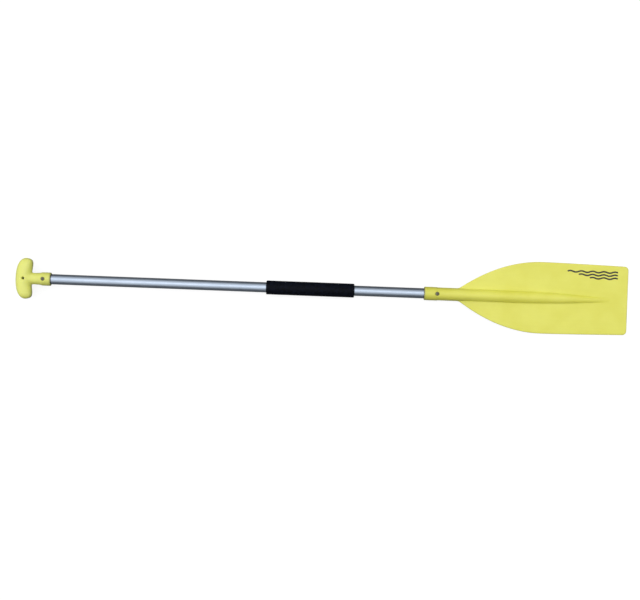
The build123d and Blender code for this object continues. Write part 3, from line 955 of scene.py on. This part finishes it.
def black_foam():
    """Closed-cell foam with a cut and sanded skin: burst cells, soft lumps and a little dust."""
    dark = linear(1, 3, 9)
    light = linear(11, 15, 28)
    pit_shade_colour = linear(2, 3, 6)
    dust_colour = linear(66, 70, 82)
    recipe = Recipe("black_closed_cell_foam")
    cell = recipe.cells(0.75, "F1")
    cloud = recipe.noise(7, 4.0, 0.6)
    colour = recipe.mix(recipe.between(cloud, 0.35, 0.7), dark, light)
    # Painted shade: darker in the pits of the burst cells
    colour = recipe.mix(recipe.between(cell, 0.0, 0.22, 0.55, 0.0), colour, pit_shade_colour)
    colour = recipe.mix(recipe.between(recipe.noise(0.5, 2.0), 0.68, 0.76, 0.0, 0.4), colour, dust_colour)
    lumps = recipe.bump(recipe.noise(2.4, 3.0), 0.12)
    recipe.set(
        Base_Color=colour,
        Roughness=recipe.between(cloud, 0.3, 0.7, 0.42, 0.6),
        IOR=1.35,
        Specular_IOR_Level=0.12,
        Normal=recipe.bump(recipe.between(cell, 0.05, 0.5), 0.15, lumps),
    )
    return recipe


def plain_metal(name, bright, dark, rough):
    """A small metal piece: bare, a little tarnished and marked by its tool."""
    recipe = Recipe(name)
    tarnish = recipe.between(recipe.noise(2.2, 4.0, 0.6), 0.3, 0.75)
    recipe.set(
        Base_Color=recipe.mix(tarnish, bright, dark),
        Roughness=recipe.between(recipe.noise(0.18, 3.0), 0.3, 0.7, rough - 0.06, rough + 0.1),
        Metallic=1.0,
        Normal=recipe.bump(recipe.noise(0.4, 3.0), 0.02),
    )
    return recipe


def pad_ink():
    """Pad-printed ink: near black, half gloss, thin in tiny specks."""
    recipe = Recipe("black_pad_ink")
    thin = recipe.between(recipe.noise(0.35, 2.0), 0.62, 0.72, 0.0, 0.5)
    recipe.set(
        Base_Color=recipe.mix(thin, linear(22, 22, 24), linear(70, 70, 40)),
        Roughness=recipe.between(recipe.noise(6, 3.0), 0.3, 0.7, 0.38, 0.5),
        Normal=recipe.bump(recipe.noise(0.6, 3.0), 0.01),
    )
    return recipe


def plug_foam():
    """Expanded foam beads, pressed together."""
    recipe = Recipe("white_plug_foam")
    edge = recipe.between(recipe.cells(3.0, "DISTANCE_TO_EDGE"), 0.0, 0.12)
    recipe.set(
        Base_Color=recipe.mix(edge, (0.6, 0.6, 0.58), (0.84, 0.84, 0.82)),
        Roughness=recipe.between(recipe.noise(2, 3.0), 0.3, 0.7, 0.75, 0.95),
        Normal=recipe.bump(edge, 0.25),
    )
    return recipe


def pale_floor():
    """Plain pale paper, which also shines a little."""
    recipe = Recipe("pale_floor")
    paper = recipe.between(recipe.noise(90, 3.0), 0.3, 0.7)
    recipe.set(
        Base_Color=recipe.mix(paper, (0.25, 0.25, 0.25), (0.24, 0.24, 0.243)),
        Roughness=0.9,
        Specular_IOR_Level=0.1,
        Emission_Color=(1.0, 1.0, 1.0, 1),
        Emission_Strength=FLOOR_GLOW,
    )
    return recipe


# ---------------------------------------------------------------- stage, light and camera
SOFT_LIGHT_FROM = (-0.36, 0.11, 0.93)
SOFT_LIGHT = 1.74  # at the middle of the soft light
SOFT_LIGHT_EDGE = 0.24  # cosine of the angle at which it has faded out
AMBIENT = 0.03  # all round
ROOM_GLOSS = 0.16  # what gloss sees all round, on top of that
END_GLOSS = 0.65  # what it sees past the oar's two ends
FLOOR_GLOW = 0.84  # the floor's own light, which keeps the shadows faint
# Each light panel: its place, length and width in metres, and its power in watts
KEY_LIGHT = ((0.0, 0.35, 3.1), 3.4, 1.4, 13.5)
FILL_LIGHT = ((0.2, 2.6, 1.5), 2.4, 1.6, 15.0)


def make_floor():
    """A wide floor through the two places that the oar lies on, the foam's blade end and the blade's tip.

    It shows to the camera only: the oar gets no light or reflection from it.
    """
    tilt = np.arctan2((AXIS_Z - PLATE_HALF) * MM, (TIP - FOAM_END) * MM)
    half = 30.0
    mesh = bpy.data.meshes.new("floor")
    corners = [(-half, -half, 0), (half, -half, 0), (half, half, 0), (-half, half, 0)]
    mesh.from_pydata(corners, [], [(0, 1, 2, 3)])
    floor = bpy.data.objects.new("floor", mesh)
    bpy.context.collection.objects.link(floor)
    floor.rotation_euler = (0, -tilt, 0)
    floor.location = (FOAM_END * MM * (1 - cos(tilt)), 0, -FOAM_END * MM * sin(tilt))
    floor.visible_glossy = False
    floor.visible_diffuse = False
    pale_floor().use(floor)


def add_light(name, place, length, width, power):
    """A soft light panel that shines on the oar's middle and that the camera doesn't see."""
    data = bpy.data.lights.new(name, "AREA")
    data.shape, data.size, data.size_y, data.energy = "RECTANGLE", length, width, power
    lamp = bpy.data.objects.new(name, data)
    bpy.context.collection.objects.link(lamp)
    lamp.location = place
    lamp.rotation_euler = (-Vector(place)).to_track_quat("-Z", "Y").to_euler()
    lamp.visible_camera = False
    return lamp


def make_world():
    """A white room for the camera, and a broad soft light for all else, fading to dark away from its middle.

    Gloss also sees a dim room round about, which is lighter past the oar's two ends.
    """
    world = bpy.data.worlds.new("studio")
    bpy.context.scene.world = world
    world.use_nodes = True
    graph = Graph(world.node_tree)
    white = world.node_tree.nodes["Background"]
    white.inputs["Color"].default_value = (1.0, 1.0, 1.0, 1)
    softbox = graph.node("ShaderNodeBackground")
    direction = graph.node("ShaderNodeTexCoord").outputs["Generated"]
    towards = graph.node("ShaderNodeVectorMath", operation="DOT_PRODUCT")
    graph.join(direction, towards.inputs[0])
    towards.inputs[1].default_value = Vector(SOFT_LIGHT_FROM).normalized()
    fade = graph.between(towards.outputs["Value"], SOFT_LIGHT_EDGE, 1.0, AMBIENT, SOFT_LIGHT)
    lengthwise = graph.math("ABSOLUTE", graph.part(direction, "X"))
    gloss = graph.between(lengthwise, 0.25, 0.75, ROOM_GLOSS, END_GLOSS)
    ray = graph.node("ShaderNodeLightPath").outputs
    graph.join(graph.math("MULTIPLY_ADD", gloss, ray["Is Glossy Ray"], fade), softbox.inputs["Strength"])
    choose = graph.node("ShaderNodeMixShader")
    graph.join(ray["Is Camera Ray"], choose.inputs["Fac"])
    graph.join(softbox.outputs["Background"], choose.inputs[1])
    graph.join(white.outputs["Background"], choose.inputs[2])
    graph.join(choose.outputs["Shader"], world.node_tree.nodes["World Output"].inputs["Surface"])


def make_camera():
    """Straight down on the blade's face, turned a little, with the oar just above the picture's middle."""
    seen_width, turned, lens = 1.5936, radians(2.17), 72.0
    below_shaft, off_middle = 0.0264, -0.00375
    data = bpy.data.cameras.new("camera")
    data.lens, data.sensor_width = lens, 36.0
    camera = bpy.data.objects.new("camera", data)
    bpy.context.collection.objects.link(camera)
    camera.location = (
        off_middle + below_shaft * sin(turned),
        -below_shaft * cos(turned),
        AXIS_Z * MM + seen_width * lens / data.sensor_width,
    )
    camera.rotation_euler = (0, 0, turned)
    bpy.context.scene.camera = camera


# ---------------------------------------------------------------- everything
make_camera()
make_world()
make_floor()
add_light("key", *KEY_LIGHT)
fill = add_light("fill", *FILL_LIGHT)
fill.visible_glossy = False

blade = make_blade()
grip = make_t_grip()
tube = make_tube()
foam = make_foam()
rivets = [*make_rivet("grip", GRIP_RIVET_X), *make_rivet("blade", BLADE_RIVET_X)]
print_lines = make_print()

blade_yellows = linear(230, 229, 100), linear(225, 223, 88)
grip_yellows = linear(235, 238, 128), linear(230, 233, 116)
# How far from each mouth the painted shade of deeper yellow reaches, in millimetres
blade_shade_reach, grip_shade_reach = 1.6 * ROOT_U, 55
yellow_moulding("yellow_blade", *blade_yellows, BLADE_MOUTH, blade_shade_reach).use(blade)
yellow_moulding("yellow_grip", *grip_yellows, GRIP_MOUTH, grip_shade_reach).use(grip)
drawn_aluminium().use(tube)
black_foam().use(foam)
# Painted shade: the rivet's and the mandrel's colours are kept far darker than bare aluminium and steel; only
# their tarnish is real
rivet_metal_painted_dark = plain_metal("rivet_aluminium", (0.17, 0.165, 0.12), (0.07, 0.068, 0.045), 0.3)
mandrel_metal_painted_dark = plain_metal("mandrel_steel", (0.13, 0.125, 0.10), (0.05, 0.045, 0.035), 0.35)
for piece, metal in zip(rivets, (rivet_metal_painted_dark, mandrel_metal_painted_dark) * 2):
    metal.use(piece)
pad_ink().use(print_lines)
white_foam = plug_foam()
for node in ("upper_float_plug", "lower_float_plug"):
    white_foam.use(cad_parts[node])

bpy.context.scene.view_settings.view_transform = "Standard"
